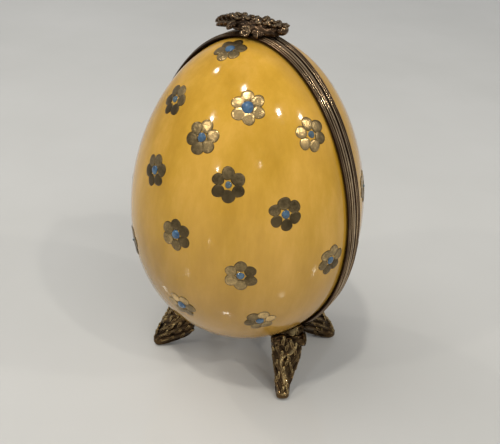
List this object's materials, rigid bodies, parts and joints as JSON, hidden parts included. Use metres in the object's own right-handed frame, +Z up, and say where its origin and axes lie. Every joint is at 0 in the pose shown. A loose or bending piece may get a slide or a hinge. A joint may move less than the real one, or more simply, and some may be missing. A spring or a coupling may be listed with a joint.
{
  "type": "jewelled egg trinket box",
  "caption": "Egg-shaped porcelain trinket box, split upright and hinged below, with reeded metal collars, a cast spray clasp and scroll feet.",
  "frame": {"origin": "on the surface that the box stands on, under the egg's axis", "axes": "+Z up along the egg's axis; the seam between the halves is the XZ plane; -Y towards the half that opens"},
  "size_m": [0.054, 0.052, 0.0837],
  "materials": {
    "porcelain": "glossy warm yellow glaze, faintly mottled",
    "collar_metal": "aged brown gilt, worn bright on the reeds",
    "cast_gilt": "dark cast gilt with bright high spots"
  },
  "bodies": {
    "back_half": {"shell_back": "porcelain", "collar_back": "collar_metal", "hinge_pin": "collar_metal", "foot_back_left": "cast_gilt", "foot_back_right": "cast_gilt"},
    "front_half": {"shell_front": "porcelain", "collar_front": "collar_metal", "clasp_spray": "cast_gilt", "foot_front_left": "cast_gilt", "foot_front_right": "cast_gilt"}
  },
  "joints": [
    {"name": "egg_hinge", "type": "hinge", "parent": "back_half", "child": "front_half", "pos_m": [0, 0, 0.00715], "axis": [1, 0, 0], "range_deg": [0, 90]}
  ]
}
